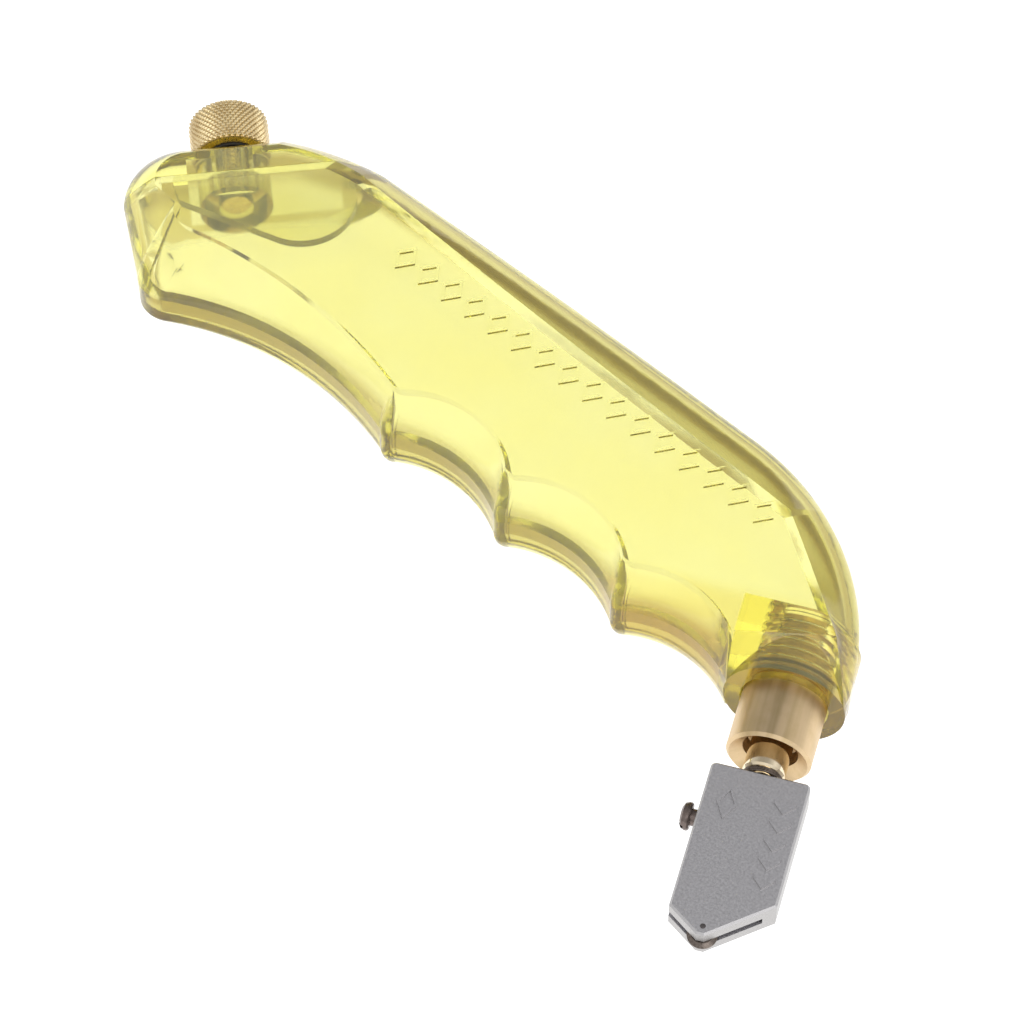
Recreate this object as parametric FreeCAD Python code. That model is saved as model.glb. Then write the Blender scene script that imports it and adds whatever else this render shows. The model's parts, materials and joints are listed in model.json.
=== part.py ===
"""Pistol-grip oil-feed glass cutter, lying on its flat side.

Working frame while modelling: X runs along the grip from the filler knob to the cutting head,
Y points to the palm side, Z is the thickness, and the grip's middle plane is z = 0.
The finished part is moved so that its origin is at the centre of the box's underside.
"""
import FreeCAD
import Part
import math
import os

from FreeCAD import Vector

# ---------------------------------------------------------------- driving dimensions (mm)
HALF = 8.8              # half thickness of the grip
BAND = 2.4              # half height of the upright band round the grip's edge
BULGE = 0.2             # how far the bevels swell out from a straight chamfer
WALL = 2.6              # wall of the hollow grip
BEVEL_STEPS = 4         # sections in each bevel, besides the first
BOND_GAP = 0.06         # glue line between the grip and its cap

NOSE_ANGLE = -63.6      # direction of the cutting head's axis, from +X
NOSE_U = 45.1           # that axis's distance from the origin, across it
COLLAR_R = 8.7
MOUTH = 20.8            # end of the grip, along the nose axis
SOCKET_TOP = 9.0        # where the reservoir ends and the threaded socket begins
SOCKET_HALF = 8.8       # the socket's solid block reaches this far to the finger side of the axis

CAP_ANGLE = 139.0       # direction of the filler's axis, from +X
CAP_SEAM = 60.0         # seam between grip and cap, along the filler axis
CAP_TOP = 68.4
FILLER_T = -34.6        # filler axis's distance from the origin, across it
TONGUE_T = 1.5          # tongue of the cap that goes into the grip

THREAD_PITCH = 1.5      # barrel thread
THREAD_DEPTH = 0.5
SHANK_R = 5.6           # crest radius of the barrel's thread
THREAD_GAP = 0.1
BARREL_TOP = 9.8        # positions along the nose axis
SHANK_END = 18.4
FLANGE_TOP = 19.8
BARREL_END = 30.0
BARREL_R = 6.05
COUNTERBORE_R = 6.35
COUNTERBORE_TOP = 18.6

STEM_R = 1.95           # valve stem in the barrel's guide bore
GUIDE_GAP = 0.05
STEM_TOP = 12.0
SEAL_NECK_TOP = 13.83
SEAL_NECK_R = 1.5
SEAL_RING_R = 2.0       # centre line of the stem's seal
SEAL_WIRE_R = 0.45
SEAL_POS = 14.33
HEAD_STEM_R = 1.8       # stem inside the cutting head
STEM_END = 45.0
CHAMBER_R = 3.0
CHAMBER_END = 14.0
SPRING_POCKET_TOP = 18.0
SPRING_POCKET_R = 3.3
POCKET_CONE_TOP = 26.5
POCKET_MOUTH_R = 3.95
MOUTH_DISH = 1.4        # the barrel's end face is dished in this much at its bore
SHOULDER_TOP = 25.0     # polished shoulder of the stem, which the return spring pushes
SHOULDER_END = 32.75
SHOULDER_R = 3.0

SPRING_R = 2.5          # centre line of the return spring's coils
SPRING_WIRE_R = 0.33
FRICTION_R = 2.7        # small spring that holds the head against the stem's shoulder
FRICTION_WIRE_R = 0.19

HEAD_TOP = 33.8
HEAD_W = 14.0
HEAD_T = 5.0
HEAD_CORNER_R = 0.8
HEAD_SHOULDER_L = 23.3  # along the head from its top
HEAD_SHOULDER_R = 19.7
HEAD_TIP = 26.8
TIP_U = 5.2             # tip's distance from the head's finger-side edge
SLOT = 1.16
SLOT_DEPTH = 3.4
HEAD_BORE_DEPTH = 11.6
OIL_HOLE_R = 0.6

WHEEL_R = 2.1
WHEEL_T = 1.0
WHEEL_POS = 25.3        # axle, along the head from its top
AXLE_R = 0.4
RUNNING_GAP = 0.03

SCREW_POS = 8.0         # clamp screw, along the head from its top
SCREW_R = 1.2
SCREW_GAP = 0.05
SCREW_HEAD_R = 2.0
SCREW_HEAD_T = 1.4
SCREW_STANDOFF = 0.8
SCREW_DOG_R = 0.65
GROOVE_R = 1.3          # stem groove that the dog point runs in

KNOB_R = 6.05
KNOB_BOTTOM = 69.0
KNOB_TOP = 76.5
FILLER_R = 2.5
FILLER_END = 59.5
FILLER_PITCH = 0.8
FILLER_DEPTH = 0.35
WASHER_T = 0.4
BUSH_R = 5.5            # clear bush that the filler screws into
BUSH_END = 58.5

RELIEF_H = 0.4          # raised pattern on the side face
HEAD_RELIEF_H = 0.25    # raised pattern on the head
RELIEF_COUNT = 16
RELIEF_SINK = 0.2       # overlap with the wall that it stands on


# ---------------------------------------------------------------- frames of the two slanted axes
def unit(angle):
    return Vector(math.cos(math.radians(angle)), math.sin(math.radians(angle)), 0)


NOSE = unit(NOSE_ANGLE)
ACROSS = unit(NOSE_ANGLE + 90)
FILL = unit(CAP_ANGLE)
FILL_ACROSS = unit(CAP_ANGLE - 90)


def nose_point(u, s, z=0.0):
    """Point u across and s along the nose direction."""
    return ACROSS * u + NOSE * s + Vector(0, 0, z)


def cap_point(t, b, z=0.0):
    """Point t across and b along the filler direction."""
    return FILL_ACROSS * t + FILL * b + Vector(0, 0, z)


# ---------------------------------------------------------------- small solids
def revolve(profile, axis_point, axis):
    """Solid of revolution. profile is a list of (radius, distance along the axis)."""
    side = Vector(0, 0, 1)
    points = [axis_point + side * r + axis * d for r, d in profile]
    wire = Part.makePolygon(points + points[:1])
    return Part.Face(wire).revolve(axis_point, axis, 360)


def nose_solid(profile):
    return revolve(profile, nose_point(NOSE_U, 0), NOSE)


def filler_solid(profile):
    return revolve(profile, cap_point(FILLER_T, 0), FILL)


def nose_cylinder(radius, start, end):
    return nose_solid([(0, start), (radius, start), (radius, end), (0, end)])


def torus(centre, axis, ring_r, wire_r):
    return Part.makeTorus(ring_r, wire_r, centre, axis)


def beyond(point, normal):
    """Large block on the side of a plane that its normal points to."""
    size = 400.0
    block = Part.makeBox(size, size, size, Vector(-size / 2, -size / 2, 0))
    turn = FreeCAD.Rotation(Vector(0, 0, 1), normal)
    block.Placement = FreeCAD.Placement(point, turn)
    return block


def thread_profile(crest_r, depth, pitch, start, end):
    """Ridge and groove points of a thread, from start to end."""
    points = []
    count = int((end - start) / pitch)
    for k in range(count):
        base = start + k * pitch
        points += [(crest_r - depth, base), (crest_r - depth, base + 0.2 * pitch),
                   (crest_r, base + 0.45 * pitch), (crest_r, base + 0.75 * pitch)]
    points.append((crest_r - depth, start + count * pitch))
    return points


# ---------------------------------------------------------------- grip outline
# Each row: the point where an edge ends, on the band and on the flat face, and for an arc
# the point it passes through, on the band and on the face.
START = (nose_point(NOSE_U - 8.35, MOUTH), Vector(39.5, 1.2))
CREST_W = 2.2


def v(x, y):
    return Vector(x, y, 0)


def outline_rows():
    cap_back = cap_point(-11.5, CAP_SEAM)
    rows = [
        (nose_point(NOSE_U + 8.35, MOUTH), v(51.0, 10.3), None, None),
        (v(56.3, 7.6), v(50.0, 10.95), None, None),
        (v(35.0, 28.0), v(32.7, 22.1), v(48.6, 18.7), v(41.4, 16.6)),
        (v(18.0, 31.4), v(18.0, 22.5), v(26.8, 30.6), v(25.4, 22.4)),
        (cap_back, v(-53.3, 25.4), v(-18.0, 31.5), v(-18.0, 23.6)),
        (cap_point(-26.0, CAP_TOP), cap_point(-27.5, 64.2),
         cap_point(-18.3, 64.8), cap_point(-21.2, 61.2)),
        (cap_point(-42.5, CAP_TOP), cap_point(-41.5, 64.2), None, None),
        (cap_point(-51.4, CAP_SEAM), cap_point(-46.3, 58.5),
         cap_point(-49.1, 65.6), cap_point(-45.2, 62.4)),
        (v(-68.4, -7.1), v(-70.2, 3.2), None, None),
        (v(-62.0, -7.7), v(-66.0, 1.0), v(-65.2, -8.6), v(-68.4, 1.3)),
    ]
    band_vias = [v(-38.0, -1.0), v(-11.0, -0.65), v(11.0, -0.55)]
    face_vias = [v(-45.0, 3.6), v(-13.4, 4.5), v(8.6, 4.3)]
    for k in range(3):
        crest = -22.9 + 22.2 * k
        rows.append((v(crest, -3.2), v(crest - 1.0, 0.5), band_vias[k], face_vias[k]))
        rows.append((v(crest + CREST_W, -3.4), v(crest + 1.2, 0.9),
                     v(crest + CREST_W / 2, -3.8), v(crest + 0.1, 0.4)))
    rows.append((START[0], START[1], v(33.2, -0.1), v(30.6, 3.4)))
    return rows


def inset_loop(points, distance):
    """Move each point of a closed loop inwards, square to the chord of its neighbours."""
    moved = []
    count = len(points)
    for k in range(count):
        chord = points[(k + 1) % count] - points[k - 1]
        inward = Vector(-chord.y, chord.x, 0).normalize()
        moved.append(points[k] + inward * distance)
    return moved


def section_wire(z, along_bevel, inset_band=0.0, inset_face=0.0):
    """Closed outline of the grip at one level. along_bevel is 0 on the band, 1 on the face."""
    rows = outline_rows()
    band, face, kinds = [START[0]], [START[1]], []
    for band_end, face_end, band_via, face_via in rows:
        if band_via is not None:
            band.append(band_via)
            face.append(face_via)
        band.append(band_end)
        face.append(face_end)
        kinds.append("arc" if band_via is not None else "line")
    band.pop()
    face.pop()
    band = inset_loop(band, inset_band)
    face = inset_loop(face, inset_face)
    share = along_bevel - 4 * BULGE * along_bevel * (1 - along_bevel)
    loop = [a + (b - a) * share + Vector(0, 0, z) for a, b in zip(band, face)]
    edges, at = [], 0
    for kind in kinds:
        if kind == "arc":
            last = loop[(at + 2) % len(loop)]
            edges.append(Part.Arc(loop[at], loop[at + 1], last).toShape())
            at += 2
        else:
            edges.append(Part.LineSegment(loop[at], loop[(at + 1) % len(loop)]).toShape())
            at += 1
    return Part.Wire(edges)


def grip_solid(half, band_half, inset_band=0.0, inset_face=0.0):
    """The grip's outer form, or its hollow when inset: an upright band between two bevels."""
    bevel = []
    for k in range(BEVEL_STEPS + 1):
        share = k / BEVEL_STEPS
        bevel.append((band_half + (half - band_half) * share, share))
    upper = [section_wire(z, s, inset_band, inset_face) for z, s in bevel]
    lower = [section_wire(-z, s, inset_band, inset_face) for z, s in reversed(bevel)]
    band = Part.makeLoft([lower[-1], upper[0]], True, True)
    return band.fuse([Part.makeLoft(upper, True, False), Part.makeLoft(lower, True, False)])


# ---------------------------------------------------------------- moulded grip and cap
def lozenge_frame(centre, along, up, half_w, half_h, stroke, height):
    """Raised frame round a lozenge, standing on RELIEF_SINK below its centre."""
    rings = []
    for w, h in ((half_w, half_h), (half_w - stroke, half_h - 1.5 * stroke)):
        corners = [centre + along * w, centre + up * h, centre - along * w, centre - up * h]
        corners = [c - Vector(0, 0, RELIEF_SINK) for c in corners]
        face = Part.Face(Part.makePolygon(corners + corners[:1]))
        rings.append(face.extrude(Vector(0, 0, height + RELIEF_SINK)))
    return rings[0].cut(rings[1])


def side_relief():
    """Raised row of plain lozenge frames along the side face."""
    start, end = v(-37.6, 18.3), v(30.3, 19.2)
    along = (end - start).normalize()
    up = Vector(-along.y, along.x, 0)
    frames = []
    for k in range(RELIEF_COUNT):
        centre = start + (end - start) * (k / (RELIEF_COUNT - 1)) + Vector(0, 0, HALF)
        frames.append(lozenge_frame(centre, along, up, 1.75, 2.4, 0.5, RELIEF_H))
    return frames


def socket_cut():
    """Threaded socket with its seal counterbore, open to the reservoir."""
    gap = THREAD_GAP
    crest = SHANK_R + gap
    profile = [(0, SOCKET_TOP - 1.0), (crest - THREAD_DEPTH, SOCKET_TOP - 1.0)]
    profile += thread_profile(crest, THREAD_DEPTH, THREAD_PITCH, SOCKET_TOP + 0.1, COUNTERBORE_TOP)
    profile += [(crest - THREAD_DEPTH, COUNTERBORE_TOP), (COUNTERBORE_R, COUNTERBORE_TOP),
                (COUNTERBORE_R, MOUTH + 1.0), (0, MOUTH + 1.0)]
    return nose_solid(profile)


def cavity():
    """Oil reservoir. The threaded socket's block stands in its front end."""
    hollow = grip_solid(HALF - WALL, BAND - 0.6, WALL, 0.9)
    block = beyond(nose_point(0, SOCKET_TOP), NOSE)
    block = block.common(beyond(nose_point(NOSE_U - SOCKET_HALF, 0), ACROSS))
    return hollow.cut(block)


def outer_form():
    body = grip_solid(HALF, BAND)
    collar = nose_cylinder(COLLAR_R, 11.0, MOUTH)
    return body.fuse(collar).removeSplitter()


def handle_body(outer, hollow):
    body = outer.cut(beyond(cap_point(0, CAP_SEAM - BOND_GAP / 2), FILL))
    body = body.cut(hollow)
    body = body.cut(socket_cut())
    return body.fuse(side_relief())


def butt_cap(outer, hollow):
    """Thick cap with a tongue under its upper face, which slopes and rounds off towards the palm side."""
    cap = outer.common(beyond(cap_point(0, CAP_SEAM + BOND_GAP / 2), FILL))
    edge = [cap_point(-44.0, CAP_SEAM + 1.2), cap_point(-43.0, 56.6), cap_point(-29.5, 48.2),
            cap_point(-19.0, 49.4), cap_point(-16.8, 55.0), cap_point(-17.4, CAP_SEAM + 1.2)]
    outline = Part.Wire([Part.LineSegment(edge[0], edge[1]).toShape(),
                         Part.LineSegment(edge[1], edge[2]).toShape(),
                         Part.Arc(edge[2], edge[3], edge[4]).toShape(),
                         Part.LineSegment(edge[4], edge[5]).toShape(),
                         Part.LineSegment(edge[5], edge[0]).toShape()])
    depth = HALF - WALL - 0.12
    tongue = Part.Face(outline).extrude(Vector(0, 0, TONGUE_T))
    tongue.translate(Vector(0, 0, depth - TONGUE_T))
    tight = grip_solid(HALF - WALL - 0.1, BAND - 0.7, WALL + 0.12, 1.0)
    tongue = tongue.common(tight)
    inner_edge = [cap_point(-41.5, 70.0), cap_point(-41.5, 40.0),
                  cap_point(-18.6, 40.0), cap_point(-18.6, 70.0)]
    room = Part.Face(Part.makePolygon(inner_edge + inner_edge[:1]))
    room = room.extrude(Vector(0, 0, 2 * (depth - TONGUE_T)))
    room.translate(Vector(0, 0, TONGUE_T - depth))
    cap = cap.fuse(tongue).removeSplitter().cut(room.common(hollow))
    hole_r = BUSH_R + BOND_GAP / 2
    return cap.cut(filler_solid([(0, BUSH_END - 1), (hole_r, BUSH_END - 1),
                                 (hole_r, CAP_TOP + 3), (0, CAP_TOP + 3)]))


def filler_bush(outer):
    """Threaded bush bonded in the cap, its top finished flush with the cap's outside."""
    bore_r = FILLER_R + THREAD_GAP
    ring = filler_solid([(bore_r, BUSH_END), (BUSH_R, BUSH_END), (BUSH_R, CAP_TOP + 1),
                         (bore_r, CAP_TOP + 1)])
    return ring.common(outer)


# ---------------------------------------------------------------- filler
def filler_screw():
    core = FILLER_R - FILLER_DEPTH
    profile = [(0, FILLER_END - 0.5), (core - 0.3, FILLER_END - 0.5), (core, FILLER_END)]
    profile += thread_profile(FILLER_R, FILLER_DEPTH, FILLER_PITCH, FILLER_END, KNOB_BOTTOM - 1.6)
    profile += [(core, KNOB_BOTTOM), (KNOB_R - 0.5, KNOB_BOTTOM), (KNOB_R, KNOB_BOTTOM + 0.5),
                (KNOB_R, KNOB_TOP - 1.1), (KNOB_R - 0.3, KNOB_TOP - 0.45),
                (KNOB_R - 1.0, KNOB_TOP), (0, KNOB_TOP)]
    return filler_solid(profile)


def filler_washer():
    top = KNOB_BOTTOM - 0.05
    return filler_solid([(FILLER_R + 0.08, top - WASHER_T), (4.4, top - WASHER_T),
                         (4.4, top), (FILLER_R + 0.08, top)])


# ---------------------------------------------------------------- valve
def valve_barrel():
    core = SHANK_R - THREAD_DEPTH
    outside = [(core - 0.4, BARREL_TOP), (core, BARREL_TOP + 0.4)]
    outside += thread_profile(SHANK_R, THREAD_DEPTH, THREAD_PITCH,
                              SOCKET_TOP + 0.1 + THREAD_PITCH, SHANK_END)[1:]
    outside += [(4.8, SHANK_END), (4.8, FLANGE_TOP), (BARREL_R - 0.25, FLANGE_TOP),
                (BARREL_R, FLANGE_TOP + 0.25), (BARREL_R, BARREL_END - 0.45),
                (BARREL_R - 0.45, BARREL_END)]
    seat_r = STEM_R + GUIDE_GAP
    inside = [(POCKET_MOUTH_R, BARREL_END - MOUTH_DISH), (POCKET_MOUTH_R - 0.1, POCKET_CONE_TOP),
              (SPRING_POCKET_R, POCKET_CONE_TOP - 0.5), (SPRING_POCKET_R, SPRING_POCKET_TOP),
              (seat_r, SPRING_POCKET_TOP), (seat_r, CHAMBER_END + CHAMBER_R - seat_r),
              (CHAMBER_R, CHAMBER_END), (CHAMBER_R, BARREL_TOP)]
    return nose_solid(outside + inside)


def barrel_o_ring():
    return torus(nose_point(NOSE_U, 19.2), NOSE, 5.42, 0.55)


def valve_stem():
    screw = HEAD_TOP + SCREW_POS
    stem = nose_solid([
        (0, STEM_TOP), (2.3, STEM_TOP), (2.6, STEM_TOP + 0.3), (2.6, SEAL_NECK_TOP),
        (SEAL_NECK_R, SEAL_NECK_TOP), (SEAL_NECK_R, SEAL_NECK_TOP + 1.0),
        (STEM_R, SEAL_NECK_TOP + 1.0), (STEM_R, SHOULDER_TOP), (SHOULDER_R, SHOULDER_TOP),
        (SHOULDER_R, SHOULDER_END - 0.3), (SHOULDER_R - 0.3, SHOULDER_END),
        (HEAD_STEM_R, SHOULDER_END), (HEAD_STEM_R, screw - 0.85), (GROOVE_R, screw - 0.85),
        (GROOVE_R, screw + 0.85), (HEAD_STEM_R, screw + 0.85), (HEAD_STEM_R, STEM_END - 0.4),
        (HEAD_STEM_R - 0.4, STEM_END), (0, STEM_END)])
    start = SEAL_NECK_TOP + 1.3
    oil_flat = Part.makeBox(1.0, STEM_END - start + 1, 4.0)
    oil_flat.translate(Vector(-0.5, 0, -5.25))
    turn = FreeCAD.Rotation(Vector(0, 1, 0), NOSE)
    oil_flat.Placement = FreeCAD.Placement(nose_point(NOSE_U, start), turn).multiply(
        oil_flat.Placement)
    return stem.cut(oil_flat)


def stem_seal():
    return torus(nose_point(NOSE_U, SEAL_POS), NOSE, SEAL_RING_R, SEAL_WIRE_R)


def spring_sleeve(ring_r, wire_r, start, end):
    """Outer shape of a coil spring on the nose axis, just clear of what it presses on."""
    clear = 0.03
    return nose_solid([(ring_r - wire_r, start + clear), (ring_r + wire_r, start + clear),
                       (ring_r + wire_r, end - clear), (ring_r - wire_r, end - clear)])


def return_spring():
    return spring_sleeve(SPRING_R, SPRING_WIRE_R, SPRING_POCKET_TOP, SHOULDER_TOP)


def friction_spring():
    return spring_sleeve(FRICTION_R, FRICTION_WIRE_R, SHOULDER_END, HEAD_TOP)


# ---------------------------------------------------------------- cutting head
def head_point(u, s, z=0.0):
    """Point on the head: u from its finger-side edge, s down from its top."""
    return nose_point(NOSE_U - HEAD_W / 2 + u, HEAD_TOP + s, z)


def head_body():
    corners = [(0, 0), (HEAD_W, 0), (HEAD_W, HEAD_SHOULDER_R), (TIP_U + 0.5, HEAD_TIP - 0.2),
               (TIP_U - 0.6, HEAD_TIP - 0.2), (0, HEAD_SHOULDER_L)]
    points = [head_point(u, s, -HEAD_T / 2) for u, s in corners]
    body = Part.Face(Part.makePolygon(points + points[:1])).extrude(Vector(0, 0, HEAD_T))
    upright = [e for e in body.Edges if e.BoundBox.ZLength > HEAD_T / 2]
    top = [e for e in upright if (e.CenterOfMass - head_point(0, 0)).dot(NOSE) < 1.0]
    body = body.makeFillet(HEAD_CORNER_R, top)
    rims = [e for e in body.Edges if abs(abs(e.BoundBox.ZMin) - HEAD_T / 2) < 1e-6
            and abs(e.BoundBox.ZLength) < 1e-6]
    body = body.makeChamfer(0.3, rims)
    slot_edge = [(-1, HEAD_SHOULDER_L - SLOT_DEPTH), (TIP_U, HEAD_TIP - SLOT_DEPTH - 1.0),
                 (HEAD_W - 3.4, HEAD_SHOULDER_R - 1.0), (HEAD_W - 1.6, HEAD_SHOULDER_R + 0.3),
                 (HEAD_W - 1.6, HEAD_TIP + 2), (-1, HEAD_TIP + 2)]
    points = [head_point(u, s, -SLOT / 2) for u, s in slot_edge]
    slot = Part.Face(Part.makePolygon(points + points[:1])).extrude(Vector(0, 0, SLOT))
    bore = nose_solid([(0, HEAD_TOP - 1), (HEAD_STEM_R + GUIDE_GAP, HEAD_TOP - 1),
                       (HEAD_STEM_R + GUIDE_GAP, HEAD_TOP + HEAD_BORE_DEPTH),
                       (OIL_HOLE_R, HEAD_TOP + HEAD_BORE_DEPTH + 0.9),
                       (OIL_HOLE_R, HEAD_TOP + HEAD_SHOULDER_L - 1), (0, HEAD_TOP + HEAD_SHOULDER_L - 1)])
    screw_hole = Part.makeCylinder(SCREW_R + SCREW_GAP, HEAD_W / 2, head_point(-0.5, SCREW_POS),
                                   ACROSS)
    axle_hole = Part.makeCylinder(AXLE_R, HEAD_T + 2, head_point(TIP_U, WHEEL_POS, -HEAD_T / 2 - 1))
    body = body.cut([slot, bore, screw_hole, axle_hole])
    return body.fuse(head_relief())


def head_relief():
    """Plain raised chevrons and one lozenge frame on the upper face of the head."""
    bars = []
    for k in range(5):
        s = 3.6 + 3.0 * k
        corners = [(9.8, s), (11.3, s + 1.5), (12.8, s), (12.8, s + 0.7), (11.3, s + 2.2),
                   (9.8, s + 0.7)]
        points = [head_point(u, w, HEAD_T / 2 - RELIEF_SINK) for u, w in corners]
        face = Part.Face(Part.makePolygon(points + points[:1]))
        bars.append(face.extrude(Vector(0, 0, RELIEF_SINK + HEAD_RELIEF_H)))
    bars.append(lozenge_frame(head_point(3.6, 6.0, HEAD_T / 2), ACROSS, NOSE, 1.5, 2.6, 0.45,
                              HEAD_RELIEF_H))
    return bars


def wheel_axle():
    start = -HEAD_T / 2 + 0.1
    return Part.makeCylinder(AXLE_R, HEAD_T - 0.2, head_point(TIP_U, WHEEL_POS, start))


def cutting_wheel():
    """Wheel with a sharp edge, free on its axle."""
    bore = AXLE_R + RUNNING_GAP
    rise = WHEEL_T / 2
    centre = head_point(TIP_U, WHEEL_POS)
    profile = [(bore, -rise), (WHEEL_R - 0.55, -rise), (WHEEL_R, -0.04), (WHEEL_R, 0.04),
               (WHEEL_R - 0.55, rise), (bore, rise)]
    points = [centre + Vector(r, 0, z) for r, z in profile]
    face = Part.Face(Part.makePolygon(points + points[:1]))
    return face.revolve(centre, Vector(0, 0, 1), 360)


def clamp_screw():
    """Pan-head screw whose dog point runs in the stem's groove."""
    under = -SCREW_STANDOFF
    tip = HEAD_W / 2 - HEAD_STEM_R - 0.15
    profile = [(0, under - SCREW_HEAD_T), (SCREW_HEAD_R - 0.75, under - SCREW_HEAD_T),
               (SCREW_HEAD_R - 0.2, under - SCREW_HEAD_T + 0.3),
               (SCREW_HEAD_R, under - SCREW_HEAD_T + 0.8), (SCREW_HEAD_R, under - 0.25),
               (SCREW_HEAD_R - 0.2, under), (SCREW_R, under), (SCREW_R, tip - 0.3),
               (SCREW_DOG_R, tip), (SCREW_DOG_R, tip + 0.45), (0, tip + 0.45)]
    screw = revolve(profile, head_point(0, SCREW_POS), ACROSS)
    slot = Part.makeBox(0.7, 6.0, 0.6, Vector(-0.05, -3.0, -0.3))
    turn = FreeCAD.Rotation(Vector(1, 0, 0), ACROSS)
    place = FreeCAD.Placement(head_point(under - SCREW_HEAD_T, SCREW_POS), turn)
    slot.Placement = place.multiply(slot.Placement)
    return screw.cut(slot)


# ---------------------------------------------------------------- assembly
def build():
    outer = outer_form()
    hollow = cavity()
    return {
        "handle_body": handle_body(outer, hollow),
        "butt_cap": butt_cap(outer, hollow),
        "filler_bush": filler_bush(outer),
        "filler_screw": filler_screw(),
        "filler_washer": filler_washer(),
        "valve_barrel": valve_barrel(),
        "barrel_o_ring": barrel_o_ring(),
        "valve_stem": valve_stem(),
        "stem_seal": stem_seal(),
        "return_spring": return_spring(),
        "friction_spring": friction_spring(),
        "head_body": head_body(),
        "wheel_axle": wheel_axle(),
        "cutting_wheel": cutting_wheel(),
        "clamp_screw": clamp_screw(),
    }


def origin_shift(shapes):
    """Move that puts the origin at the centre of the box's underside."""
    box = FreeCAD.BoundBox()
    for shape in shapes.values():
        box.add(shape.optimalBoundingBox(True))
    return Vector(-box.Center.x, -box.Center.y, -box.ZMin)


SHAPES = build()
SHIFT = origin_shift(SHAPES)
os.makedirs("parts", exist_ok=True)
for name, shape in SHAPES.items():
    shape = shape.copy()
    shape.translate(SHIFT)
    shape.exportStep("parts/" + name + ".step")
    print(name, shape.isValid(), len(shape.Solids), round(shape.Volume, 1))
print("shift", SHIFT)
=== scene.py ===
"""Looks of the pistol-grip oil-feed glass cutter: clear yellow grip, brass filler and valve, steel head.

Lengths are in metres, in the CAD model's own frame.
"""

import json
import math

import bpy
from mathutils import Matrix, Vector


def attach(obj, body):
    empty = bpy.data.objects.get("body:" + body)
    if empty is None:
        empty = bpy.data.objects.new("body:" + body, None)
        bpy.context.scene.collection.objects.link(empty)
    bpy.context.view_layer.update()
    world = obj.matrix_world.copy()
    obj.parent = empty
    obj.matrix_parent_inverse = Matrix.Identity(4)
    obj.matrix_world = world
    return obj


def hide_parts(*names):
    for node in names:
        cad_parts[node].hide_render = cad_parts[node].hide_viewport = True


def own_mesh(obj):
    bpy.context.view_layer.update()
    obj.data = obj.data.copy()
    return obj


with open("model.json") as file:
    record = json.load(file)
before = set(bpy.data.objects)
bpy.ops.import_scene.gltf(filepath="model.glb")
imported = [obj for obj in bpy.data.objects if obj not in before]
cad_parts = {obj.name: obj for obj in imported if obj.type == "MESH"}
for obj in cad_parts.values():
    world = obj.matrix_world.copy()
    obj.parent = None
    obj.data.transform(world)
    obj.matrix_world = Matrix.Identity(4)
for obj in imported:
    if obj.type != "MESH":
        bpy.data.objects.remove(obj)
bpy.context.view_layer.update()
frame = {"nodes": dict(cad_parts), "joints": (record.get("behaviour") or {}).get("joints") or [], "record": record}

MM = 0.001
JOINTS = {joint["name"]: joint for joint in frame["joints"]}
NOSE_AXIS = Vector(JOINTS["head_swivel"]["axis"])
NOSE_AT = Vector(JOINTS["head_swivel"]["pos_m"])
FILL_AXIS = Vector(JOINTS["filler_turn"]["axis"])
KNOB_BASE = Vector(JOINTS["filler_turn"]["pos_m"])
MOUNTS = {mount["name"]: mount for mount in frame["record"]["mounts"]}
SIDE_FACE = Vector(MOUNTS["side_face"]["pos_m"])
MID_HEIGHT = NOSE_AT.z          # the grip's middle plane
AIM_OFFSET = 13.0 * MM          # the camera's aim is this far from the side face's mount, along -Y
CAMERA_AZIMUTH = 42.3           # degrees round from -Y towards +X
CAMERA_ELEVATION = 55.5
CAMERA_DISTANCE = 0.6143        # from its aim
FOCAL_IN_FRAMES = 4.199         # focal length as a share of the sensor's width
SENSOR_WIDTH = 36.0             # in Blender's own millimetres


def node_span(name):
    """Where a CAD node starts and ends along the nose axis, from the swivel's point."""
    vertices = frame["nodes"][name].data.vertices
    heights = [(vertex.co - NOSE_AT).dot(NOSE_AXIS) for vertex in vertices]
    return min(heights), max(heights)


def direction(azimuth, elevation):
    """Unit vector, with azimuth in degrees round from -Y towards +X."""
    azimuth, elevation = math.radians(azimuth), math.radians(elevation)
    return Vector((math.sin(azimuth) * math.cos(elevation),
                   -math.cos(azimuth) * math.cos(elevation), math.sin(elevation)))


# ---------------------------------------------------------------- mesh helpers
def axis_matrix(origin, axis):
    """Local +Z along axis, local +Y upright where it can be."""
    z = Vector(axis).normalized()
    x = Vector((0, 0, 1)).cross(z)
    x = x.normalized() if x.length > 1e-6 else Vector((1, 0, 0))
    y = z.cross(x)
    turn = Matrix((x, y, z)).transposed().to_4x4()
    return Matrix.Translation(origin) @ turn


def new_piece(name, verts, faces, matrix, smooth_angle=40):
    """Mesh object with its place in its vertices. Edges over smooth_angle degrees stay sharp."""
    mesh = bpy.data.meshes.new(name)
    mesh.from_pydata([matrix @ Vector(v) for v in verts], [], faces)
    mesh.update()
    piece = bpy.data.objects.new(name, mesh)
    bpy.context.scene.collection.objects.link(piece)
    for polygon in mesh.polygons:
        polygon.use_smooth = True
    mesh.set_sharp_from_angle(angle=math.radians(smooth_angle))
    return piece


def grid_faces(rows, columns):
    """Quads between closed rings of vertices."""
    faces = []
    for r in range(rows - 1):
        for c in range(columns):
            d = (c + 1) % columns
            faces.append((r * columns + c, r * columns + d,
                          (r + 1) * columns + d, (r + 1) * columns + c))
    return faces


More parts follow.
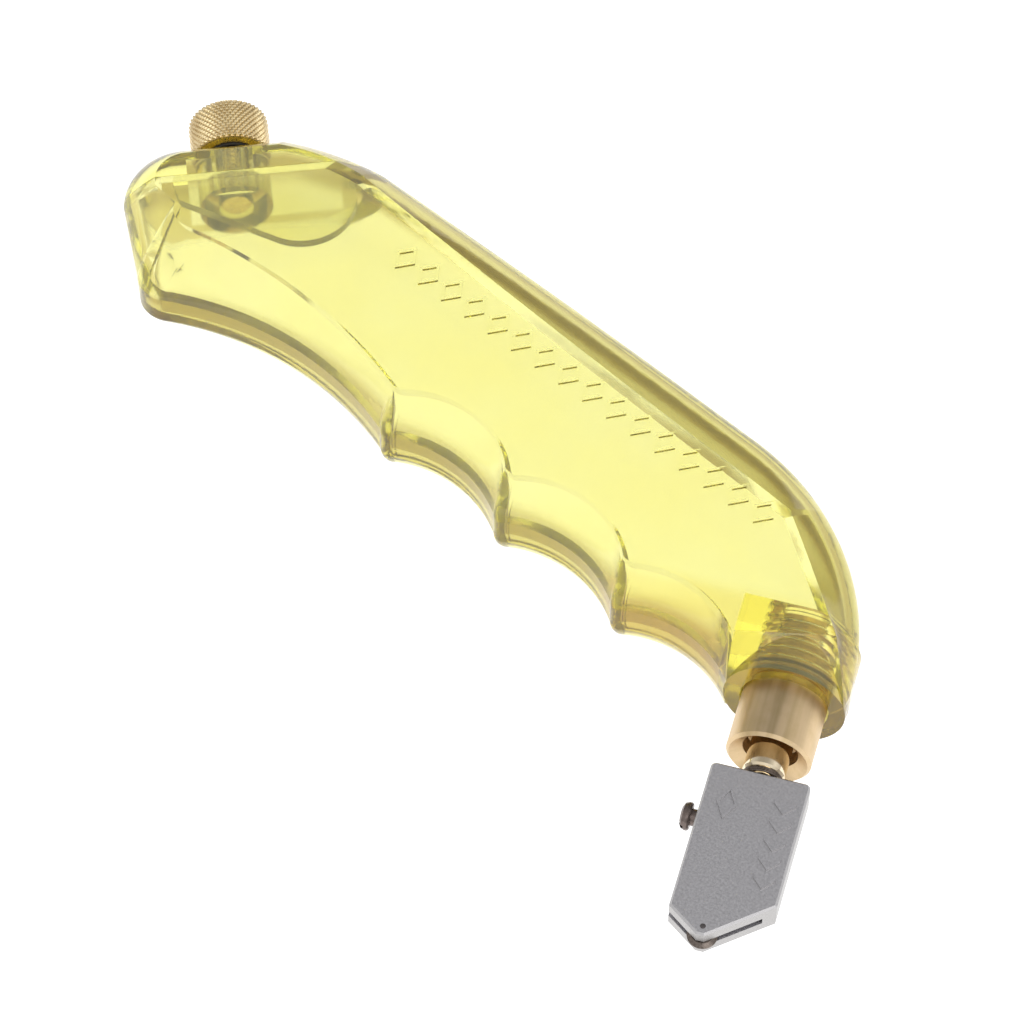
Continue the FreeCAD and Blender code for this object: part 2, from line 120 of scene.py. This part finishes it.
def lathe(name, profile, matrix, segments, shape):
    """Turned solid. profile runs from the axis to the axis as (radius, height);
    shape(radius, height, angle) gives the radius that is cut there."""
    verts, rings = [], profile[1:-1]
    for radius, height in rings:
        for k in range(segments):
            angle = 2 * math.pi * k / segments
            r = shape(radius, height, angle)
            verts.append((r * math.cos(angle), r * math.sin(angle), height))
    faces = grid_faces(len(rings), segments)
    low, high = len(verts), len(verts) + 1
    verts += [(0, 0, profile[0][1]), (0, 0, profile[-1][1])]
    last = (len(rings) - 1) * segments
    for k in range(segments):
        d = (k + 1) % segments
        faces.append((low, d, k))
        faces.append((high, last + k, last + d))
    return new_piece(name, verts, faces, matrix)


def coil(name, ring_r, wire_r, turns, closed_turns, length, matrix):
    """Coil spring along local +Z from 0 to length, with closed_turns closed up at each end."""
    per_turn, around = 40, 12
    steps = int(per_turn * turns)
    pitch_wire = 2.06 * wire_r      # closed turns almost touch
    free = length - 2 * wire_r - 2 * closed_turns * pitch_wire
    open_turns = turns - 2 * closed_turns
    verts = []
    for k in range(steps + 1):
        turn = turns * k / steps
        if turn < closed_turns:
            z = turn * pitch_wire
        elif turn > turns - closed_turns:
            z = length - 2 * wire_r - (turns - turn) * pitch_wire
        else:
            z = closed_turns * pitch_wire + free * (turn - closed_turns) / open_turns
        angle = 2 * math.pi * turn
        for j in range(around):
            a = 2 * math.pi * j / around
            r = ring_r + wire_r * math.cos(a)
            verts.append((r * math.cos(angle), r * math.sin(angle),
                          z + wire_r + wire_r * math.sin(a)))
    faces = [tuple(reversed(f)) for f in grid_faces(steps + 1, around)]
    faces.append(tuple(range(around)))
    faces.append(tuple(reversed(range(steps * around, (steps + 1) * around))))
    return new_piece(name, verts, faces, matrix, 60)


# ---------------------------------------------------------------- material helpers
def material(name):
    """New material with only a Principled shader: the material, its tree, shader and output."""
    made = bpy.data.materials.new(name)
    made.use_nodes = True
    made.node_tree.nodes.clear()
    out = made.node_tree.nodes.new("ShaderNodeOutputMaterial")
    shader = made.node_tree.nodes.new("ShaderNodeBsdfPrincipled")
    made.node_tree.links.new(shader.outputs["BSDF"], out.inputs["Surface"])
    return made, made.node_tree, shader, out


def node(tree, kind, **values):
    """New node. Each value sets the input of that name, or else the node's own property."""
    made = tree.nodes.new(kind)
    for key, value in values.items():
        if key in made.inputs:
            made.inputs[key].default_value = value
        else:
            setattr(made, key, value)
    return made


def object_position(tree, matrix=None, scale=(1, 1, 1)):
    """Position in the row frame, turned into a part's own axes and scaled."""
    coords = node(tree, "ShaderNodeTexCoord")
    last = coords.outputs["Object"]
    if matrix is not None:
        turned = node(tree, "ShaderNodeMapping", vector_type="TEXTURE")
        turned.inputs["Location"].default_value = matrix.to_translation()
        turned.inputs["Rotation"].default_value = matrix.to_euler()
        tree.links.new(last, turned.inputs["Vector"])
        last = turned.outputs["Vector"]
    scaled = node(tree, "ShaderNodeMapping")
    scaled.inputs["Scale"].default_value = scale
    tree.links.new(last, scaled.inputs["Vector"])
    return scaled.outputs["Vector"]


def noise(tree, vector, scale, detail=3.0, roughness=0.5):
    """Noise from 0 to 1, with scale in cycles to the metre."""
    made = node(tree, "ShaderNodeTexNoise", Scale=scale, Detail=detail, Roughness=roughness)
    tree.links.new(vector, made.inputs["Vector"])
    return made.outputs["Fac"]


def ramp(tree, factor, low, high, at=(0.0, 1.0)):
    """Two-colour ramp, low at the first place in at and high at the second."""
    made = node(tree, "ShaderNodeValToRGB")
    made.color_ramp.elements[0].position = at[0]
    made.color_ramp.elements[1].position = at[1]
    made.color_ramp.elements[0].color = (*low, 1)
    made.color_ramp.elements[1].color = (*high, 1)
    tree.links.new(factor, made.inputs["Fac"])
    return made.outputs["Color"]


def remap(tree, factor, low, high, in_low=0.0, in_high=1.0):
    """Maps in_low to low and in_high to high, and holds those values outside them."""
    made = node(tree, "ShaderNodeMapRange")
    made.inputs["From Min"].default_value = in_low
    made.inputs["From Max"].default_value = in_high
    made.inputs["To Min"].default_value = low
    made.inputs["To Max"].default_value = high
    tree.links.new(factor, made.inputs["Value"])
    return made.outputs["Result"]


def bump(tree, shader, height, distance, strength):
    made = node(tree, "ShaderNodeBump", Strength=strength, Distance=distance)
    tree.links.new(height, made.inputs["Height"])
    tree.links.new(made.outputs["Normal"], shader.inputs["Normal"])


def math_node(tree, operation, first, second=None):
    """Result of one operation on sockets or numbers."""
    made = node(tree, "ShaderNodeMath", operation=operation)
    for socket, value in zip(made.inputs, (first, second)):
        if value is None:
            continue
        if isinstance(value, (int, float)):
            socket.default_value = value
        else:
            tree.links.new(value, socket)
    return made.outputs["Value"]


def mix_colour(tree, factor, first, second):
    """First colour where factor is 0, second where it is 1; either may be a socket."""
    made = node(tree, "ShaderNodeMix", data_type="RGBA")
    tree.links.new(factor, made.inputs[0])
    for socket, value in ((made.inputs[6], first), (made.inputs[7], second)):
        if isinstance(value, tuple):
            socket.default_value = (*value, 1)
        else:
            tree.links.new(value, socket)
    return made.outputs[2]


def normal_and_place(tree):
    """Separate axes of the surface's normal and of its position in the row frame."""
    coords = node(tree, "ShaderNodeTexCoord")
    split = []
    for output in ("Normal", "Object"):
        axes = node(tree, "ShaderNodeSeparateXYZ")
        tree.links.new(coords.outputs[output], axes.inputs[0])
        split.append(axes.outputs)
    return split


# ---------------------------------------------------------------- clear plastic
FACE_TINTS = (1.0, 0.985, 0.74), (1.0, 0.995, 0.80)
# painted shade: dark olive for the palm side's outer bevel
PAINTED_PALM_SHADE = (0.36, 0.29, 0.03)
# painted shade: dark olive for the upright faces along the hollow grip
PAINTED_EDGE_SHADE = (0.46, 0.37, 0.10)
BLOCK_FACE_TINT = (0.95, 0.89, 0.52)
# painted shade: darker olive for the upright faces of the solid block
PAINTED_BLOCK_EDGE_SHADE = (0.46, 0.31, 0.07)


def painted_edge_shade_mask(tree):
    """Mask for painted shade: 1 where a surface is upright, so light runs a long way through the plastic behind
    it; there the plastic is painted a darker olive.
    """
    normal, _ = normal_and_place(tree)
    return remap(tree, math_node(tree, "ABSOLUTE", normal["Z"]), 1.0, 0.0, 0.15, 0.55)


def painted_palm_shade_mask(tree):
    """Mask for painted shade: near 1 on the outer bevel of the palm side, which is seen along its slope; there the
    plastic is painted a dark olive.
    """
    normal, place = normal_and_place(tree)
    height = math_node(tree, "SUBTRACT", place["Z"], MID_HEIGHT)
    outward = math_node(tree, "MULTIPLY", normal["Z"], height)
    outward = math_node(tree, "GREATER_THAN", outward, 0.0)
    return math_node(tree, "MULTIPLY", remap(tree, normal["Y"], 0.0, 0.9, 0.15, 0.5), outward)


def block_depth(tree):
    """1 in the solid block round the valve's socket, 0 along the hollow grip."""
    along = node(tree, "ShaderNodeVectorMath", operation="DOT_PRODUCT")
    tree.links.new(node(tree, "ShaderNodeTexCoord").outputs["Object"], along.inputs[0])
    along.inputs[1].default_value = NOSE_AXIS
    top = node_span("valve_barrel")[0] + NOSE_AT.dot(NOSE_AXIS)
    return remap(tree, along.outputs["Value"], 0.0, 1.0, top - 1.2 * MM, top + 1.0 * MM)


def clear_plastic(name, density, colour):
    """Clear plastic whose colour comes mostly from how far light runs through it, with painted shade in dark olive
    on its upright faces and on the palm side's outer bevel.
    """
    made, tree, shader, out = material(name)
    shader.inputs["Transmission Weight"].default_value = 0.9
    shader.inputs["IOR"].default_value = 1.49
    position = object_position(tree)
    flow = noise(tree, position, 60, 2.0)
    face = ramp(tree, flow, *FACE_TINTS, (0.35, 0.65))
    block = block_depth(tree)
    face = mix_colour(tree, block, face, BLOCK_FACE_TINT)
    # painted shade: dark olive on the palm side's outer bevel
    face = mix_colour(tree, painted_palm_shade_mask(tree), face, PAINTED_PALM_SHADE)
    # painted shade: upright faces take a dark olive, deeper in the solid block
    edge = mix_colour(tree, block, PAINTED_EDGE_SHADE, PAINTED_BLOCK_EDGE_SHADE)
    tree.links.new(mix_colour(tree, painted_edge_shade_mask(tree), face, edge), shader.inputs["Base Color"])
    tree.links.new(remap(tree, flow, 0.07, 0.13, 0.35, 0.75), shader.inputs["Roughness"])
    bump(tree, shader, noise(tree, position, 90, 1.0), 0.00012, 0.25)
    absorb = node(tree, "ShaderNodeVolumeAbsorption", Density=density)
    absorb.inputs["Color"].default_value = (*colour, 1)
    tree.links.new(absorb.outputs["Volume"], out.inputs["Volume"])
    return made


# ---------------------------------------------------------------- metals and rubber
def turned_brass(name, matrix, colour, shade, rough=(0.22, 0.38), streak=900):
    """Brass with fine streaks along its axis and a faint tarnish."""
    made, tree, shader, _ = material(name)
    shader.inputs["Metallic"].default_value = 1.0
    along = object_position(tree, matrix, (1, 1, 0.03))
    streaks = noise(tree, along, streak, 4.0, 0.6)
    tarnish = noise(tree, object_position(tree, matrix), 260, 3.0)
    mixed = math_node(tree, "MULTIPLY", streaks, tarnish)
    tree.links.new(ramp(tree, mixed, shade, colour, (0.12, 0.34)), shader.inputs["Base Color"])
    tree.links.new(remap(tree, streaks, *rough, 0.3, 0.7), shader.inputs["Roughness"])
    bump(tree, shader, streaks, 0.00002, 0.35)
    return made


def cast_steel(name, colour, shade, rough=(0.38, 0.55), grain=3000, side=None):
    """Grey sintered steel with a fine, slightly pitted skin; side, when given, is painted shade: the colour laid
    on upright faces for the light they don't catch.
    """
    made, tree, shader, _ = material(name)
    shader.inputs["Metallic"].default_value = 1.0
    position = object_position(tree)
    grains = noise(tree, position, grain, 3.0, 0.65)
    skin = ramp(tree, grains, shade, colour, (0.3, 0.7))
    # painted shade: upright faces take the side colour in place of the light they don't catch
    if side is not None:
        normal, _ = normal_and_place(tree)
        level = math_node(tree, "ABSOLUTE", normal["Z"])
        skin = mix_colour(tree, remap(tree, level, 0.0, 1.0, 0.5, 0.95), side, skin)
    tree.links.new(skin, shader.inputs["Base Color"])
    tree.links.new(remap(tree, grains, *rough, 0.3, 0.7), shader.inputs["Roughness"])
    bump(tree, shader, grains, 0.00003, 0.5)
    return made


def black_rubber(name):
    """Dull black rubber with a fine grain."""
    made, tree, shader, _ = material(name)
    position = object_position(tree)
    grains = noise(tree, position, 4000, 2.0)
    tree.links.new(ramp(tree, grains, (0.012, 0.012, 0.012), (0.03, 0.03, 0.03)),
                   shader.inputs["Base Color"])
    tree.links.new(remap(tree, grains, 0.5, 0.7), shader.inputs["Roughness"])
    bump(tree, shader, grains, 0.00001, 0.4)
    return made


def finish_node(name, made):
    """Gives a CAD node its material."""
    cad = frame["nodes"][name]
    cad.data.materials.clear()
    cad.data.materials.append(made)


def finish_piece(piece, made, body, slot, *replaced):
    """Gives a new piece its material and its body, and hides the CAD nodes that it stands for; slot is not used.
    """
    piece.data.materials.append(made)
    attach(piece, body)
    if replaced:
        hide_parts(*replaced)


# ---------------------------------------------------------------- filler knob
KNOB_R = 6.05 * MM
KNOB_H = 7.5 * MM
KNOB_RIM = 0.9 * MM             # rounded edge of the knob's top
KNOB_CHAMFER = 0.45 * MM        # bevel at its foot
KNURL_STARTS = 44
KNURL_DEPTH = 0.32 * MM
KNURL_STRETCH = 1.15            # the diamonds are this much longer than they are wide
KNURL_INNER = 0.8               # share of the radius inside which the knob is smooth
KNURL_FADE = 0.1                # share of the radius over which the knurl reaches its full depth
KNURL_FOOT = 0.2 * MM           # smooth height at the knob's foot
FILLER_R = 2.5 * MM
FILLER_PITCH = 0.8 * MM
FILLER_DEPTH = 0.35 * MM
FILLER_LEN = 10.0 * MM
FILLER_TIP = 0.5 * MM


def triangle_wave(x):
    """0 on whole numbers, 1 halfway between them."""
    return 1 - abs(2 * (x - math.floor(x)) - 1)


def knurled_radius(radius, height, angle):
    """Diamond knurl cut into the knob's side, fading out over its rounded rims."""
    if radius < KNOB_R * KNURL_INNER or height < KNURL_FOOT:
        return radius
    pitch = 2 * math.pi * KNOB_R / KNURL_STARTS
    across = angle * KNURL_STARTS / (2 * math.pi)
    along = height / (KNURL_STRETCH * pitch)
    ridge = min(triangle_wave(across + along), triangle_wave(across - along))
    fade = min(1.0, (radius - KNOB_R * KNURL_INNER) / (KNURL_FADE * KNOB_R))
    return radius - KNURL_DEPTH * fade * (1 - min(1.0, 1.5 * ridge))


def knob_profile():
    """From the axis at the foot to the axis at the top, with a shallow dimple turned in the top."""
    rows, rim_steps, lowest, dimple = 66, 10, 0.12 * MM, 0.12 * MM
    points = [(0, 0.0), (FILLER_R, 0.0), (KNOB_R - 0.5 * MM, 0.0)]
    for k in range(rows + 1):
        height = lowest + (KNOB_H - lowest - KNOB_RIM) * k / rows
        chamfer = max(0.0, KNOB_CHAMFER - height)
        points.append((KNOB_R - chamfer, height))
    for k in range(1, rim_steps + 1):
        a = math.pi / 2 * k / rim_steps
        points.append((KNOB_R - KNOB_RIM * (1 - math.cos(a)),
                       KNOB_H - KNOB_RIM * (1 - math.sin(a))))
    points += [(3.2 * MM, KNOB_H), (2.9 * MM, KNOB_H - dimple), (0, KNOB_H - dimple)]
    return points


def threaded_rod(name, crest_r, depth, pitch, length, tip, matrix):
    """Rod with a real helical thread and a bevelled tip, from local z = -length to 0."""
    per_pitch, segments = 8, 48
    rows = int(length / pitch * per_pitch)
    verts = []
    for r in range(rows + 1):
        z = -length + length * r / rows
        for k in range(segments):
            angle = 2 * math.pi * k / segments
            wave = triangle_wave(z / pitch - k / segments)
            cut = depth * (1 - min(1.0, 1.6 * wave))
            taper = max(0.0, (tip - (z + length))) * 0.8
            radius = crest_r - max(cut, min(taper, 2 * depth))
            verts.append((radius * math.cos(angle), radius * math.sin(angle), z))
    faces = grid_faces(rows + 1, segments)
    faces.append(tuple(reversed(range(segments))))
    faces.append(tuple(range(rows * segments, (rows + 1) * segments)))
    return new_piece(name, verts, faces, matrix, 30)


def make_filler():
    place = axis_matrix(KNOB_BASE, FILL_AXIS)
    brass = turned_brass("knurled_brass", place, (0.83, 0.68, 0.40), (0.60, 0.45, 0.23),
                         (0.2, 0.34))
    knob = lathe("filler_knob_knurled", knob_profile(), place, KNURL_STARTS * 12, knurled_radius)
    finish_piece(knob, brass, "filler_knob", "knurled_brass", "filler_screw")
    rod = threaded_rod("filler_thread", FILLER_R, FILLER_DEPTH, FILLER_PITCH, FILLER_LEN,
                       FILLER_TIP, place)
    finish_piece(rod, brass, "filler_knob", "knurled_brass")


# ---------------------------------------------------------------- springs
RETURN_RING_R = 2.5 * MM
RETURN_WIRE_R = 0.33 * MM
RETURN_TURNS = 6.2
FRICTION_RING_R = 2.7 * MM
FRICTION_WIRE_R = 0.19 * MM
FRICTION_TURNS = 2.4


def make_springs():
    """Coils in place of the CAD sleeves."""
    wire = cast_steel("spring_wire", (0.42, 0.41, 0.40), (0.25, 0.24, 0.23), (0.25, 0.4), 2500)
    dark = cast_steel("dark_spring_wire", (0.16, 0.13, 0.11), (0.07, 0.055, 0.045), (0.25, 0.45),
                      2500)
    start, end = node_span("return_spring")
    place = axis_matrix(NOSE_AT + NOSE_AXIS * start, NOSE_AXIS)
    coils = coil("return_spring_coils", RETURN_RING_R, RETURN_WIRE_R, RETURN_TURNS, 0.8,
                 end - start, place)
    finish_piece(coils, wire, "handle", "spring_steel", "return_spring")
    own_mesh(coils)
    start, end = node_span("friction_spring")
    place = axis_matrix(NOSE_AT + NOSE_AXIS * start, NOSE_AXIS)
    small = coil("friction_spring_coils", FRICTION_RING_R, FRICTION_WIRE_R, FRICTION_TURNS, 0.6,
                 end - start, place)
    finish_piece(small, dark, "stem", "spring_steel_dark", "friction_spring")


# ---------------------------------------------------------------- CAD nodes
def finish_cad_nodes():
    nose = axis_matrix(NOSE_AT, NOSE_AXIS)
    finish_node("handle_body", clear_plastic("clear_yellow", 110, (0.985, 0.965, 0.05)))
    finish_node("butt_cap", clear_plastic("clear_yellow_cap", 70, (0.985, 0.965, 0.06)))
    finish_node("filler_bush", clear_plastic("clear_amber_bush", 50, (0.99, 0.92, 0.20)))
    finish_node("valve_barrel", turned_brass("barrel_brass", nose, (0.67, 0.51, 0.31),
                                             (0.55, 0.41, 0.22), (0.32, 0.46)))
    finish_node("valve_stem", turned_brass("stem_brass", nose, (0.86, 0.74, 0.54),
                                           (0.72, 0.58, 0.38), (0.06, 0.14), 400))
    # painted shade: the head's upright faces get a darker grey than its top
    finish_node("head_body", cast_steel("head_steel", (0.60, 0.59, 0.61), (0.50, 0.49, 0.51),
                                        side=(0.45, 0.44, 0.435)))
    finish_node("wheel_axle", cast_steel("axle_steel", (0.22, 0.2, 0.2), (0.12, 0.11, 0.11)))
    finish_node("cutting_wheel", cast_steel("wheel_carbide", (0.20, 0.17, 0.15),
                                            (0.10, 0.08, 0.07), (0.2, 0.35)))
    finish_node("clamp_screw", cast_steel("screw_plate", (0.21, 0.17, 0.155),
                                          (0.11, 0.085, 0.075), (0.2, 0.35), 1500))
    rubber = black_rubber("seal_rubber")
    for name in ("filler_washer", "barrel_o_ring", "stem_seal"):
        finish_node(name, rubber)


# ---------------------------------------------------------------- stage
OPENING_ELEVATION = 48          # middle of the tent's dark opening, in degrees


def make_stage():
    """Wide glowing white floor just under the tool, which takes almost no shadow."""
    floor_half, drop = 3.0, 0.0001
    mesh = bpy.data.meshes.new("floor")
    corners = [(-floor_half, -floor_half, 0), (floor_half, -floor_half, 0),
               (floor_half, floor_half, 0), (-floor_half, floor_half, 0)]
    mesh.from_pydata(corners, [], [(0, 1, 2, 3)])
    floor = bpy.data.objects.new("floor", mesh)
    bpy.context.scene.collection.objects.link(floor)
    floor.location.z = -drop
    made, _, shader, _ = material("pale_floor")
    shader.inputs["Base Color"].default_value = (0.25, 0.25, 0.25, 1)
    shader.inputs["Roughness"].default_value = 0.9
    shader.inputs["Emission Color"].default_value = (1, 1, 1, 1)
    shader.inputs["Emission Strength"].default_value = 1.2
    floor.data.materials.append(made)


def make_key_light():
    """Soft square lamp above the head's side, pointing at the origin."""
    lamp = bpy.data.lights.new("key", "AREA")
    lamp.shape = "RECTANGLE"
    lamp.size, lamp.size_y = 0.5, 0.5
    lamp.energy = 1.2
    holder = bpy.data.objects.new("key", lamp)
    bpy.context.scene.collection.objects.link(holder)
    holder.location = (0.45, -0.1, 0.5)
    holder.rotation_euler = (-holder.location).to_track_quat("-Z", "Y").to_euler()


def make_world():
    """White tent, greyer towards the horizon and with a dark opening behind the tool."""
    world = bpy.data.worlds.new("studio")
    world.use_nodes = True
    tree = world.node_tree
    looking = node(tree, "ShaderNodeTexCoord").outputs["Generated"]
    split = node(tree, "ShaderNodeSeparateXYZ")
    tree.links.new(looking, split.inputs[0])
    sky = remap(tree, split.outputs["Z"], 0.6, 1.0, 0.0, 0.6)
    behind = node(tree, "ShaderNodeVectorMath", operation="DOT_PRODUCT")
    tree.links.new(looking, behind.inputs[0])
    behind.inputs[1].default_value = direction(CAMERA_AZIMUTH + 180, OPENING_ELEVATION)
    opening = remap(tree, behind.outputs["Value"], 1.0, 0.42, 0.55, 0.95)
    background = tree.nodes["Background"]
    background.inputs["Color"].default_value = (1, 1, 1, 1)
    tree.links.new(math_node(tree, "MULTIPLY", sky, opening), background.inputs["Strength"])
    bpy.context.scene.world = world


def make_camera():
    """Long lens, looking down at the tool over its finger side."""
    target = Vector((SIDE_FACE.x, SIDE_FACE.y - AIM_OFFSET, MID_HEIGHT))
    camera = bpy.data.cameras.new("camera")
    camera.sensor_width = SENSOR_WIDTH
    camera.lens = SENSOR_WIDTH * FOCAL_IN_FRAMES
    holder = bpy.data.objects.new("camera", camera)
    bpy.context.scene.collection.objects.link(holder)
    away = direction(CAMERA_AZIMUTH, CAMERA_ELEVATION)
    holder.location = target + away * CAMERA_DISTANCE
    holder.rotation_euler = (-away).to_track_quat("-Z", "Y").to_euler()
    bpy.context.scene.camera = holder


def set_light_paths():
    """Enough bounces for light to cross both walls of the hollow grip and come back."""
    scene = bpy.context.scene
    scene.cycles.max_bounces = 32
    scene.cycles.transmission_bounces = 32
    scene.cycles.glossy_bounces = 12
    scene.cycles.diffuse_bounces = 6
    scene.view_settings.view_transform = "Standard"


make_camera()
make_filler()
make_springs()
finish_cad_nodes()
make_stage()
make_world()
make_key_light()
set_light_paths()
